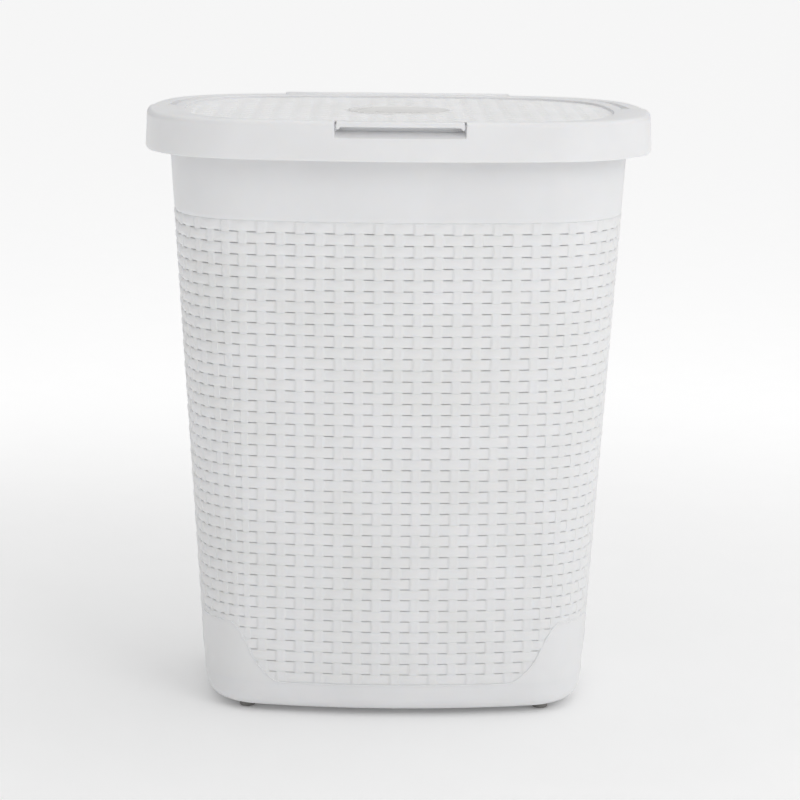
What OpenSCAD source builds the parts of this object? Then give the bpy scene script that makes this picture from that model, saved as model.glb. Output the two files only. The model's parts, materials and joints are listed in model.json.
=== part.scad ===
// Wicker-look laundry hamper with a hinged lid.
// The front half of the rim is the skirt of the lid; the back half is a fixed collar on the tub.
// X is to the right, the front faces -Y, Z is up, and the feet stand on Z = 0. Millimetres.

/* [Overall] */
// Width over the rim, at the lower edge of its skirt
rim_width = 448; // [390:1:540]
// Depth over the rim, front to back
rim_depth = 348; // [290:1:420]
// Height from the floor to the top face of the lid
lid_height = 529; // [440:1:640]

/* [Rim outline] */
// Radius of the long arcs at the front and back of the rim
long_arc_r = 686; // [560:1:900]
// Radius of the short arcs at the two sides of the rim
side_arc_r = 396; // [320:1:500]
// Radius of the rim's four corners
corner_r = 106; // [85:1:120]
// Height of the rim's skirt, from its lower edge to the top of the lid
rim_height = 33; // [28:0.5:42]
// Thickness of the rim's skirt and of its top
rim_wall = 2.4; // [1.8:0.1:3]
// How far the skirt leans in from its lower edge to its shoulder
rim_draft = 1.2; // [0:0.1:2]
// How far the fixed collar lies below the top face of the lid
collar_drop = 1.2; // [0.6:0.1:2.5]

/* [Tub] */
// Distance from the rim's outer face in to the tub's wall, at the lower edge of the skirt
overhang = 21.4; // [19:0.1:28]
// How far the wall leans in for each millimetre of height
wall_slope = 0.0624; // [0:0.001:0.08]
// Thickness of the tub's wall
wall = 2.2; // [1.6:0.1:3]
// Thickness of the tub's floor
floor_t = 2.5; // [2:0.1:4]
// Radius of the edge between the wall and the underside
base_r = 14; // [8:0.5:20]
// Gap between the tub's top edge and the hinge barrel above it
tub_gap = 1.3; // [0.8:0.1:5.8]
// Distance from the rim's outer face in to the edge of the flange round the tub's top
flange_inset = 12.9; // [10.9:0.1:14.9]
// Thickness of that flange
flange_t = 2.5; // [2:0.1:4]

/* [Lid] */
// Distance from the rim's side to the side edge of the lid's sunken wicker panel
panel_side = 35; // [29:0.5:64]
// Distance from the rim's front to the panel's front edge
panel_front = 12; // [11:0.5:20]
// Distance from the rim's back to the panel's back edge
panel_back = 36; // [34:0.5:48]
// Radius of the panel's long arcs
panel_long_arc_r = 660; // [540:1:860]
// Radius of the panel's short side arcs
panel_side_arc_r = 370; // [300:1:460]
// Radius of the panel's corners
panel_corner_r = 90; // [70:1:100]
// How far the panel lies below the top face of the lid
panel_sink = 3; // [2:0.1:4]
// Thickness of the panel
panel_t = 2.4; // [1.8:0.1:3]
// Width of the collar's top, out to the skirt's face
collar_top_w = 17; // [14:0.5:19]
// Width of the open channel between the collar and the lid
channel_w = 8; // [6:0.5:12]
// Gap between the ends of the lid's skirt and the ends of the collar
seam_gap = 1; // [0.6:0.1:2]

/* [Finger grip] */
// Width of the pocket under the lip at the front of the lid
grip_w = 110; // [80:1:130]
// Height of the pocket
grip_h = 13.4; // [11:0.2:16]
// Depth of the pocket
grip_depth = 11; // [9:0.5:11]
// Gap at each end of the lip
lip_gap = 1.6; // [1:0.1:3]
// Height of the lip's front edge
lip_h = 4.4; // [3:0.1:5]

/* [Centre badge] */
// Diameter of the blank round badge
badge_d = 90; // [60:1:120]
// Thickness of the badge
badge_t = 1.6; // [1:0.1:2]
// Distance from the middle of the tub forward to the badge's centre
badge_forward = 12; // [0:1:30]

/* [Hinge] */
// Length of the lid's hinge barrel
barrel_len = 211.4; // [150:0.2:230]
// Diameter of the barrel
barrel_d = 9; // [8:0.1:10]
// How far the barrel stands above the top face of the lid
barrel_proud = 0.8; // [0.2:0.1:2]
// Distance from the rim's back to the hinge axis
hinge_inset = 19; // [16:0.5:22]
// Diameter of the hinge pins
pin_d = 4; // [3:0.1:5]
// Radial running clearance of the pins in the barrel
pin_play = 0.06; // [0.03:0.01:0.1]
// Length of a pin inside the barrel
pin_reach = 18; // [10:1:30]
// Width of each ear that holds a pin
ear_w = 7; // [5:0.5:10]

/* [Feet] */
// Diameter of a foot
foot_d = 14; // [10:0.5:20]
// Height of the tub's underside above the floor
foot_h = 5.5; // [4:0.5:9]
// Distance from the rim's side to a foot's axis
foot_side = 93; // [84:1:134]
// Distance from the rim's front or back to a foot's axis
foot_front = 90; // [84:1:120]
// Diameter of the stem that fixes a foot in the tub's floor
stem_d = 6; // [4:0.5:8]

/* [Hidden] */
$fn = 64;

white = "#f1f0ee";
badge_white = "#efe9e2";
pin_white = "#e4e3e0";
foot_grey = "#8d8b88";

// Steps along each arc of an outline: half a long arc, a corner and half a side arc
long_steps = 5;
corner_steps = 13;
side_steps = 5;
quarter = long_steps + corner_steps + side_steps;
round_trip = 4 * quarter;
// Steps round the shoulder of the skirt
shoulder_steps = 4;

// Gap between pieces that lie close without touching
clear = 0.3;
// How far a cut runs past the surface that it opens
cut = 1;
// How far the parts of one moulding run into each other
lap = 1;
// Small step that keeps the faces of two joined parts out of one plane
step = 0.3;
half_w = rim_width / 2;
half_d = rim_depth / 2;
skirt_z = lid_height - rim_height;
shoulder = 5;
collar_z = lid_height - collar_drop;
tub_drop = barrel_d - barrel_proud + tub_gap;
tub_top = lid_height - tub_drop;
base_z = foot_h;
floor_z = base_z + floor_t;
inner_r = base_r - wall;
panel_z = lid_height - panel_sink;
hinge_y = half_d - hinge_inset;
hinge_z = lid_height + barrel_proud - barrel_d / 2;
pocket_z = lid_height - grip_h;
foot_x = half_w - foot_side;
foot_y = half_d - foot_front;
// How much higher the pocket's shelf is at its back than at its front
shelf_rise = 5.4;
// How far the border of the lid's back half lies below the top face of the lid
border_drop = 0.7;
// Thickness of the wall round the sunken panel, and how far it reaches below the panel
panel_wall = 2;
wall_below = 0.6;
border_edge = collar_top_w + channel_w;
// Inner face of each ear that holds a pin
ear_x = barrel_len / 2 + clear;

// Distance from the rim's outer face to the tub's outer face, at height z (negative is inwards)
function wall_d(z) = -overhang - (skirt_z - z) * wall_slope;

// Points along an arc from angle a0 to a1, without its last point
function arc(c, r, a0, a1, n) =
    [for (i = [0:n - 1]) let (a = a0 + (a1 - a0) * i / n) c + r * [cos(a), sin(a)]];

// Centre of a corner arc that meets a long arc and a side arc without a kink
function corner_centre(long_c, side_c, long_r, side_r, r) =
    let (
        gap = long_c - side_c,
        d = norm(gap),
        u = gap / d,
        along = (pow(side_r - r, 2) - pow(long_r - r, 2) + d * d) / (2 * d),
        across = sqrt(pow(side_r - r, 2) - along * along)
    )
    side_c + along * u + across * [-u[1], u[0]];

// A quarter of an outline, from the middle of its right side to the middle of its back
function quarter_outline(a, b, long_r, side_r, r) =
    let (
        long_c = [0, b - long_r],
        side_c = [a - side_r, 0],
        c = corner_centre(long_c, side_c, long_r, side_r, r),
        side_a = atan2(c[1] - side_c[1], c[0] - side_c[0]),
        long_a = atan2(c[1] - long_c[1], c[0] - long_c[0])
    )
    concat(
        arc(side_c, side_r, 0, side_a, side_steps),
        arc(c, r, side_a, long_a, corner_steps),
        arc(long_c, long_r, long_a, 90, long_steps),
        [[0, b]]
    );

// The whole outline, anticlockwise from the middle of its right side
function outline(a, b, long_r, side_r, r, shift = 0) =
    let (q = quarter_outline(a, b, long_r, side_r, r), n = quarter)
    [for (p = concat(
        q,
        [for (i = [n - 1:-1:0]) [-q[i][0], q[i][1]]],
        [for (i = [1:n]) -q[i]],
        [for (i = [n - 1:-1:1]) [q[i][0], -q[i][1]]]
    )) p + [0, shift]];

// The rim's outline moved outwards by d (inwards when d is negative), and its first quarter
function section(d) =
    outline(half_w + d, half_d + d, long_arc_r + d, side_arc_r + d, corner_r + d);
function quarter_section(d) =
    quarter_outline(half_w + d, half_d + d, long_arc_r + d, side_arc_r + d, corner_r + d);

// The panel's outline moved outwards by d
function panel_section(d) =
    outline(half_w - panel_side + d, half_d - (panel_front + panel_back) / 2 + d,
        panel_long_arc_r + d, panel_side_arc_r + d, panel_corner_r + d,
        (panel_front - panel_back) / 2);

// Points [d, z] round a quarter circle, from angle a0 to a1
function fillet(d, z, r, a0, a1, n) =
    [for (i = [0:n]) let (a = a0 + (a1 - a0) * i / n) [d + r * cos(a), z + r * sin(a)]];

// A solid of rings: each profile point [d, z] is the rim's outline moved by d, at height z
module rings(profile) {
    n = round_trip;
    last = len(profile) - 1;
    points = [for (p = profile) for (q = section(p[0])) [q[0], q[1], p[1]]];
    sides = [for (i = [0:last - 1]) for (k = [0:n - 1])
        [i * n + k, (i + 1) * n + k, (i + 1) * n + (k + 1) % n, i * n + (k + 1) % n]];
    bottom = [[for (k = [0:n - 1]) k]];
    top = [[for (k = [n - 1:-1:0]) last * n + k]];
    polyhedron(points = points, faces = concat(bottom, sides, top), convexity = 8);
}

// Convex cells that fill a rim profile's end: its skirt, its shoulder, its top and its inner leg.
// Points run up the outside (0 to s), over the top, down and up the leg, and back down the inside.
rim_cells =
    let (
        s = shoulder_steps + 1, leg = s + 1, under = s + 5,
        inside = s + 6, foot = s + 7, mid = floor(s / 2) + 1
    )
    concat(
        [[0, 1, inside, foot]],
        [for (j = [1:mid - 1]) [j, j + 1, inside]],
        [[mid, under, inside]],
        [for (j = [mid:s - 1]) [j, j + 1, under]],
        [[s, leg, leg + 3, under], [leg, leg + 1, leg + 2, leg + 3]]
    );

// A rim profile carried round half of the rim: point j follows outline paths[j] at height heights[j].
// back is 1 for the back half and 0 for the front half; the two ends lie at end_y before the middle.
module half_ring(paths, heights, back, end_y) {
    m = len(paths);
    n = 2 * quarter;
    start = back == 1 ? 0 : n;
    side = back == 1 ? 1 : -1;
    points = [for (i = [0:n]) for (j = [0:m - 1])
        let (q = paths[j][(start + i) % round_trip])
        [q[0], i == 0 || i == n ? side * end_y : q[1], heights[j]]];
    sides = [for (i = [0:n - 1]) for (j = [0:m - 1])
        [i * m + j, i * m + (j + 1) % m, (i + 1) * m + (j + 1) % m, (i + 1) * m + j]];
    first_end = [for (cell = rim_cells) [for (j = [len(cell) - 1:-1:0]) cell[j]]];
    last_end = [for (cell = rim_cells) [for (j = cell) n * m + j]];
    polyhedron(points = points, faces = concat(first_end, sides, last_end), convexity = 8);
}

// Outlines and heights of a profile of [d, z] points on the rim
function paths_of(profile) = [for (p = profile) section(p[0])];
function heights_of(profile) = [for (p = profile) p[1]];

// Point at share t of edge k of a quarter q, with the angle that faces outwards there
function place(q, k, t) =
    let (along = q[k + 1] - q[k])
    [q[k] + t * along, atan2(-along[0], along[1])];

// Where the rim's outline, moved by d, is at a distance y behind its middle
function side_place(y, d) =
    let (q = quarter_section(d), k = max([for (i = [0:quarter - 1]) if (q[i][1] <= y) i]))
    place(q, k, (y - q[k][1]) / (q[k + 1][1] - q[k][1]));

// Where the rim's outline, moved by d, is at a distance x beside its middle
function back_place(x, d) =
    let (q = quarter_section(d), k = max([for (i = [0:quarter - 1]) if (q[i][0] >= x) i]))
    place(q, k, (q[k][0] - x) / (q[k][0] - q[k + 1][0]));

// Stands its child on such a place with +X outwards, on the right side or mirrored to the left
module stand(side, at) {
    mirror([side < 0 ? 1 : 0, 0, 0])
        translate([at[0][0], at[0][1], 0]) rotate([0, 0, at[1]])
            children();
}

module tub() {
    flange_low = tub_top - flange_t;
    outer_low = wall_d(base_z + base_r) - base_r;
    inner_low = wall_d(floor_z + inner_r) - wall - inner_r;
    flange_d = -flange_inset;
    profile = concat(
        fillet(outer_low, base_z + base_r, base_r, -90, 0, 6),
        [[wall_d(flange_low), flange_low], [flange_d, flange_low], [flange_d, tub_top]],
        [[wall_d(tub_top) - wall, tub_top]],
        fillet(inner_low, floor_z + inner_r, inner_r, 0, -90, 5)
    );
    color(white)
        difference() {
            rings(profile);
            for (x = [-foot_x, foot_x], y = [-foot_y, foot_y])
                translate([x, y, base_z - cut])
                    cylinder(d = stem_d, h = floor_t + 2 * cut);
        }
}

// Outside of the skirt, from its lower edge up over the shoulder, with its top face at height z
function skirt_outside(z) = concat(
    [[0, skirt_z]],
    fillet(-rim_draft - shoulder, z - shoulder, shoulder, 0, 90, shoulder_steps)
);

// Inside of the skirt, from under the top face down to the lower edge
function skirt_inside(z) =
    [[-rim_draft - shoulder, z - rim_wall], [-rim_draft - rim_wall, z - shoulder],
        [-rim_wall, skirt_z]];

// A snap hook that reaches down past the flange and under it; +X points outwards from its face
module snap_hook() {
    hook_w = 16;
    hook_t = 2;
    nose = 1.6;
    nose_h = 4;
    low = tub_top - flange_t - nose_h;
    top = collar_z - rim_wall + lap;
    translate([0, -hook_w / 2, low]) cube([hook_t, hook_w, top - low]);
    translate([-nose, -hook_w / 2, low])
        cube([nose + hook_t / 2, hook_w, nose_h - clear]);
}

module rear_collar() {
    leg_t = 2.2;
    profile = concat(
        skirt_outside(collar_z),
        [[-collar_top_w, collar_z], [-collar_top_w, tub_top]],
        [[-collar_top_w + leg_t, tub_top], [-collar_top_w + leg_t, collar_z - rim_wall]],
        skirt_inside(collar_z)
    );
    hook_face = clear - flange_inset;
    hook_x = ear_x + ear_w + 10;
    hook_y = 62;
    notch_front = half_d - collar_top_w - 30;
    notch_back = hinge_y + barrel_d / 2 + 2;
    ear_low = tub_top + clear;
    ear_top = collar_z - lap;
    color(white)
        difference() {
            union() {
                half_ring(paths_of(profile), heights_of(profile), 1, seam_gap / 2);
                for (side = [-1, 1]) {
                    stand(side, side_place(hook_y, hook_face)) snap_hook();
                    stand(side, back_place(hook_x, hook_face)) snap_hook();
                    translate([side * (ear_x + ear_w / 2), hinge_y, (ear_low + ear_top) / 2])
                        cube([ear_w, barrel_d, ear_top - ear_low], center = true);
                }
            }
            translate([-ear_x, notch_front, tub_top - cut])
                cube([2 * ear_x, notch_back - notch_front, tub_drop + 2 * cut]);
            translate([-ear_x - ear_w - cut, hinge_y, hinge_z]) rotate([0, 90, 0])
                cylinder(d = pin_d, h = 2 * (ear_x + ear_w + cut));
        }
}

// Sloped shelf and end walls of the finger pocket
module pocket() {
    back_y = -half_d + grip_depth;
    front_y = -half_d + rim_wall / 2;
    shelf_t = 2;
    end_t = 2.4;
    end_x = grip_w / 2 - step;
    end_inset = 2;
    translate([-grip_w / 2 - lap, 0, 0]) rotate([90, 0, 90])
        linear_extrude(grip_w + 2 * lap)
            polygon([
                [front_y, pocket_z], [back_y, pocket_z + shelf_rise],
                [back_y, pocket_z + shelf_rise - shelf_t], [front_y, pocket_z - shelf_t]
            ]);
    for (x = [-end_x - end_t, end_x])
        translate([x, front_y + end_inset, pocket_z - lap])
            cube([end_t, grip_depth - 2 * end_inset, grip_h - lap]);
}

// Lip over the pocket, with its front edge and its two ends turned down
module lip() {
    w = grip_w - 2 * lip_gap;
    lip_t = 2;
    setback = 2;
    top = lid_height - step;
    front_y = -half_d + setback;
    back_y = -half_d + panel_front - step;
    end_d = 6;
    end_drop = 6.6;
    translate([-w / 2, front_y, top - rim_wall]) cube([w, back_y - front_y, rim_wall]);
    translate([-w / 2, front_y, top - lip_h]) cube([w, lip_t, lip_h]);
    for (x = [-w / 2, w / 2 - lip_t])
        translate([x, front_y, top - end_drop]) cube([lip_t, end_d, end_drop]);
}

// Skirt of the lid with its border, in to the edge of the sunken panel
module lid_front() {
    outside = skirt_outside(lid_height);
    inside = skirt_inside(lid_height);
    panel_low = panel_z - panel_t - wall_below;
    difference() {
        half_ring(
            concat(
                paths_of(outside),
                [panel_section(0), panel_section(0)],
                [panel_section(panel_wall), panel_section(panel_wall)],
                paths_of(inside)
            ),
            concat(
                heights_of(outside),
                [lid_height, panel_low, panel_low, lid_height - rim_wall],
                heights_of(inside)
            ),
            0, seam_gap / 2
        );
        translate([-grip_w / 2, -half_d - cut, pocket_z])
            cube([grip_w, cut + grip_depth - step, grip_h + cut]);
    }
}

// Plan of the lid's back half, which runs a little way into the front half
module back_plan(outer, inner) {
    overlap = 3;
    difference() {
        intersection() {
            polygon(outer);
            translate([-half_w, -overlap]) square([rim_width, half_d + overlap]);
        }
        polygon(inner);
    }
}

// Narrow border of the lid inside the collar, with the wall of the sunken panel under it
module lid_back() {
    top = lid_height - border_drop;
    low = lid_height - rim_wall + step;
    panel_low = panel_z - panel_t - wall_below + step;
    translate([0, 0, low]) linear_extrude(top - low)
        back_plan(section(-border_edge), panel_section(step / 2));
    translate([0, 0, panel_low]) linear_extrude(low - panel_low + lap)
        back_plan(panel_section(panel_wall - step), panel_section(step));
}

module lid() {
    leaf_w = barrel_len - 6;
    leaf_y = half_d - panel_back + lap;
    pad_w = 16;
    pad_l = 4;
    pad_x = 90;
    pad_low = tub_top + clear;
    pad_d = wall_d(tub_top) + 2;
    color(white)
        difference() {
            union() {
                lid_front();
                lid_back();
                translate([0, 0, panel_z - panel_t]) linear_extrude(panel_t)
                    polygon(panel_section(lap));
                pocket();
                lip();
                // Pads that rest on the tub's flange
                mirror([0, 1, 0]) for (x = [-pad_x, 0, pad_x])
                    stand(x, back_place(abs(x), pad_d))
                        translate([0, -pad_w / 2, pad_low])
                            cube([pad_l, pad_w, panel_z - panel_t / 2 - pad_low]);
                // Hinge leaf and barrel
                translate([-leaf_w / 2, leaf_y, hinge_z])
                    cube([leaf_w, hinge_y - leaf_y, lid_height - border_drop - step - hinge_z]);
                translate([-barrel_len / 2, hinge_y, hinge_z]) rotate([0, 90, 0])
                    cylinder(d = barrel_d, h = barrel_len);
            }
            for (side = [-1, 1])
                translate([side * (barrel_len / 2 - pin_reach / 2), hinge_y, hinge_z])
                    rotate([0, 90, 0])
                        cylinder(d = pin_d + 2 * pin_play, h = pin_reach + 2 * cut, center = true);
            translate([0, -badge_forward, panel_z - badge_t / 2])
                cylinder(d = badge_d + 2 * clear, h = badge_t);
        }
}

// Blank disc with a raised edge, set into the panel
module centre_badge() {
    edge_w = 3;
    edge_h = 0.5;
    color(badge_white)
        translate([0, -badge_forward, panel_z - badge_t / 2])
            difference() {
                cylinder(d = badge_d, h = badge_t);
                translate([0, 0, badge_t - edge_h])
                    cylinder(d = badge_d - 2 * edge_w, h = edge_h + cut);
            }
}

module hinge_pin(side) {
    len_all = pin_reach + ear_w;
    color(pin_white)
        translate([side * (ear_x + ear_w - len_all / 2), hinge_y, hinge_z])
            rotate([0, 90, 0])
                cylinder(d = pin_d, h = len_all, center = true);
}

module hinge_pin_left() { hinge_pin(-1); }
module hinge_pin_right() { hinge_pin(1); }

// Round pad with a stem that is pressed into the tub's floor
module foot(x, y) {
    edge = 1.2;
    color(foot_grey)
        translate([foot_x * x, foot_y * y, 0]) {
            cylinder(d1 = foot_d - 2 * edge, d2 = foot_d, h = edge);
            translate([0, 0, edge]) cylinder(d = foot_d, h = base_z - edge);
            cylinder(d = stem_d, h = floor_z);
        }
}

module foot_front_left() { foot(-1, -1); }
module foot_front_right() { foot(1, -1); }
module foot_rear_left() { foot(-1, 1); }
module foot_rear_right() { foot(1, 1); }

tub();
rear_collar();
lid();
centre_badge();
hinge_pin_left();
hinge_pin_right();
foot_front_left();
foot_front_right();
foot_rear_left();
foot_rear_right();
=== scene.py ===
# %% [markdown]
# A moulded laundry hamper with a hinged lid.
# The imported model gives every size, place and joint. This script only makes the looks around it:
# each plain CAD solid is replaced by a surface with the relief and rounded edges of the moulding.

# %% Load the frame
import json
import math

import bmesh
import bpy
import numpy as np
from mathutils import Matrix, Vector


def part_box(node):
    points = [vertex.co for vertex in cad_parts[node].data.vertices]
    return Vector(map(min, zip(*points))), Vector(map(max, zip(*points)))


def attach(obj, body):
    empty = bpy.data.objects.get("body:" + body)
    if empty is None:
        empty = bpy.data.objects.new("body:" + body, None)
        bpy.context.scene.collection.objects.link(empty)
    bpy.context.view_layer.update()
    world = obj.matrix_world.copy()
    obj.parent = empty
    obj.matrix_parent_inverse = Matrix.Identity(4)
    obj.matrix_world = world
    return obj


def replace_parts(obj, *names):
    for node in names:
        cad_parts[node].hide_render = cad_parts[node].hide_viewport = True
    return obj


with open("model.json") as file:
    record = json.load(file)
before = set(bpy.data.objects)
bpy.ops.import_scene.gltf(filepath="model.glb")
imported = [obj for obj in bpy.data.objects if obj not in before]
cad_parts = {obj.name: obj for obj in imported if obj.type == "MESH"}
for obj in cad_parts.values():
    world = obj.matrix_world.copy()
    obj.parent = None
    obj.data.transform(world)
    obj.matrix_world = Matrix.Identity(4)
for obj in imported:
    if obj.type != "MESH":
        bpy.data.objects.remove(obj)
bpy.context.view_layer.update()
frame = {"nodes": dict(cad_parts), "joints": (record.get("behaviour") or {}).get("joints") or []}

# %% [markdown]
# Every size below is in millimetres, and becomes metres only when a mesh is made.
# Overall sizes and places are read from the boxes of the CAD nodes, so they follow the model.
# The radii of the arcs are the mould's own, as a box cannot give them.

# %% Sizes
MM = 0.001


def box_mm(node):
    """Lowest and highest corner of a CAD node, in millimetres."""
    low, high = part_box(node)
    return np.array(low) / MM, np.array(high) / MM


lid_low, lid_high = box_mm("lid")
collar_low, collar_high = box_mm("rear_collar")
tub_low, tub_high = box_mm("tub")
badge_low, badge_high = box_mm("centre_badge")
pin_high = box_mm("hinge_pin_right")[1]
hinge_y, hinge_z = np.array(frame["joints"][0]["pos_m"][1:]) / MM

HALF_W, HALF_D = lid_high[0], -lid_low[1]
RIM_ARCS = dict(a=HALF_W, b=HALF_D, long_r=686.0, side_r=396.0, corner_r=106.0, shift=0.0)
COLLAR_DROP = 1.2
RIM_TOP = collar_high[2] + COLLAR_DROP
SKIRT_Z = collar_low[2]
TUB_TOP = tub_high[2]
BASE_Z = tub_low[2]
WALL_IN, WALL_SLOPE, WALL_T = 21.4, 0.0624, 2.2
FLANGE_IN, FLANGE_T = 12.9, 2.5
FLOOR_T, BASE_R = 2.5, 14.0
FLOOR_Z = BASE_Z + FLOOR_T
PANEL_SIDE, PANEL_ENDS, PANEL_BACK, PANEL_SINK = 35.0, 24.0, 36.0, 3.0
PANEL_ARCS = dict(a=HALF_W - PANEL_SIDE, b=HALF_D - PANEL_ENDS, long_r=660.0, side_r=370.0, corner_r=90.0,
                  shift=-12.0)
PANEL_Z = RIM_TOP - PANEL_SINK
BADGE_R, BADGE_Y = (badge_high[0] - badge_low[0]) / 2, (badge_low[1] + badge_high[1]) / 2
EAR_W, BARREL_R, BARREL_GAP = 7.0, 4.5, 0.7
EAR_X = pin_high[0] - EAR_W
print("rim top", round(float(RIM_TOP), 1), "tub top", round(float(TUB_TOP), 1), "hinge", hinge_y, hinge_z)

# %% [markdown]
# The hamper is nearly a rectangle in plan, with bowed sides. Four arcs that meet without a kink
# draw such an outline, and adding the same amount to each radius moves it evenly in or out.
# One function gives any point of the whole family, so the wall, rim and lid all fit each other.

# %% Plan outline
FRONT_SHARE, SIDE_SHARE = 0.42, 0.75


def arc_angles(arcs):
    """Centre of the corner arc, and the angles that the long and side arcs cover.
    The corner's centre lies at side_r less corner_r from the side arc's centre, and at long_r less
    corner_r from the long arc's."""
    long_c = np.array([0.0, arcs["b"] - arcs["long_r"]])
    side_c = np.array([arcs["a"] - arcs["side_r"], 0.0])
    gap = long_c - side_c
    far = np.hypot(*gap)
    unit = gap / far
    near_side, near_long = arcs["side_r"] - arcs["corner_r"], arcs["long_r"] - arcs["corner_r"]
    along = (near_side**2 - near_long**2 + far**2) / (2 * far)
    across = math.sqrt(near_side**2 - along**2)
    centre = side_c + along * unit + across * np.array([-unit[1], unit[0]])
    long_angle = math.atan2(centre[0], centre[1] - long_c[1])
    side_angle = math.atan2(centre[1], centre[0] - side_c[0])
    return centre, long_angle, side_angle


def plan(turn, d, arcs):
    """Point of the outline moved outwards by d. turn runs from 0 at the front middle over 1 at the right,
    2 at the back and 3 at the left; within a quarter it is shared between long arc, corner and side arc."""
    centre, long_angle, side_angle = arc_angles(arcs)
    turn, d = np.broadcast_arrays(np.mod(turn, 4.0), np.asarray(d, float))
    q = np.where(turn < 1, turn, np.where(turn < 2, 2 - turn, np.where(turn < 3, turn - 2, 4 - turn)))
    a = long_angle * np.clip(q / FRONT_SHARE, 0, 1)
    corner_share = np.clip((q - FRONT_SHARE) / (SIDE_SHARE - FRONT_SHARE), 0, 1)
    b = long_angle + (math.pi / 2 - side_angle - long_angle) * corner_share
    c = side_angle * np.clip((1 - q) / (1 - SIDE_SHARE), 0, 1)
    on_long, on_side = q <= FRONT_SHARE, q >= SIDE_SHARE
    x = np.where(on_long, (arcs["long_r"] + d) * np.sin(a),
                 np.where(on_side, arcs["a"] - arcs["side_r"] + (arcs["side_r"] + d) * np.cos(c),
                          centre[0] + (arcs["corner_r"] + d) * np.sin(b)))
    y = np.where(on_long, arcs["b"] - arcs["long_r"] + (arcs["long_r"] + d) * np.cos(a),
                 np.where(on_side, (arcs["side_r"] + d) * np.sin(c),
                          centre[1] + (arcs["corner_r"] + d) * np.cos(b)))
    return np.where(turn < 2, x, -x), np.where((turn < 1) | (turn > 3), -y, y) + arcs["shift"]


def wall_d(z):
    """Offset of the tub's face from the rim's outline at height z: it leans in evenly towards the floor."""
    return -WALL_IN - (SKIRT_Z - z) * WALL_SLOPE


print("corner centre and arc angles", arc_angles(RIM_ARCS))

# %% [markdown]
# Each piece is a grid of points worked out as whole arrays, joined by four-sided faces.
# A closed grid has an inside, so its signed volume tells whether the faces point outwards.

# %% Mesh helpers
def grid_quads(nu, nv, wrap_u=False, wrap_v=False):
    """Corner numbers of all cells of a grid with nu by nv points, numbered u * nv + v."""
    u = np.arange(nu if wrap_u else nu - 1)[:, None]
    v = np.arange(nv if wrap_v else nv - 1)[None, :]
    u2, v2 = (u + 1) % nu, (v + 1) % nv
    return np.stack([u * nv + v, u2 * nv + v, u2 * nv + v2, u * nv + v2], -1).reshape(-1, 4)


def signed_volume(points, quads):
    """Sum over all triangles of a . (b x c) / 6, which is positive when faces point outwards."""
    tris = np.concatenate([quads[:, [0, 1, 2]], quads[:, [0, 2, 3]]])
    p = points[tris]
    return np.einsum("ij,ij->i", p[:, 0], np.cross(p[:, 1], p[:, 2])).sum() / 6


def add_piece(name, points, quads, body, material, sharp=40.0, outwards=True):
    """Makes a mesh object at the origin from points in millimetres, and hangs it on its body."""
    points = np.asarray(points, float).reshape(-1, 3)
    if outwards and signed_volume(points, quads) < 0:
        quads = quads[:, ::-1]
    mesh = bpy.data.meshes.new(name)
    mesh.vertices.add(len(points))
    mesh.vertices.foreach_set("co", (points * MM).astype(np.float32).ravel())
    mesh.loops.add(quads.size)
    mesh.loops.foreach_set("vertex_index", quads.astype(np.int32).ravel())
    mesh.polygons.add(len(quads))
    mesh.polygons.foreach_set("loop_start", np.arange(0, quads.size, 4, dtype=np.int32))
    mesh.update(calc_edges=True)
    mesh.validate()
    mesh.shade_smooth()
    mesh.set_sharp_from_angle(angle=math.radians(sharp))
    mesh.materials.append(material)
    piece = bpy.data.objects.new(name, mesh)
    bpy.context.scene.collection.objects.link(piece)
    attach(piece, body)
    print(name, len(mesh.polygons), "faces")
    return piece


def add_grid(name, grid, closed, body, material, sharp=40.0):
    """Adds a grid of points as a piece. closed tells for each of its two directions whether it joins up."""
    return add_piece(name, grid, grid_quads(*grid.shape[:2], *closed), body, material, sharp)


def arc_points(d, z, r, a0, a1, n):
    """Points (d, z) round a circle of radius r from angle a0 to a1, in degrees."""
    a = np.radians(np.linspace(a0, a1, n + 1))
    return np.stack([d + r * np.cos(a), z + r * np.sin(a)], -1)


# %% [markdown]
# White polypropylene is injection moulded against spark-eroded steel, which leaves a satin skin.
# The eye sees a soft broad highlight, a slightly uneven gloss, and a faint warm depth, as light enters
# the plastic a little. Fine noise in the roughness and a shallow bump give that skin.

# %% Materials
def srgb(hex_colour):
    """Linear colour of an sRGB hex value."""
    c = np.array([int(hex_colour[i:i + 2], 16) for i in (1, 3, 5)]) / 255
    return (*np.where(c <= 0.04045, c / 12.92, ((c + 0.055) / 1.055) ** 2.4), 1.0)


def add_node(tree, kind, settings=(), inputs=()):
    """Adds a node with its settings, and sets each named input to a value or links it to a socket."""
    node = tree.nodes.new(kind)
    for key, value in dict(settings).items():
        setattr(node, key, value)
    for key, value in dict(inputs).items():
        if isinstance(value, bpy.types.NodeSocket):
            tree.links.new(value, node.inputs[key])
        else:
            node.inputs[key].default_value = value
    return node


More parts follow.
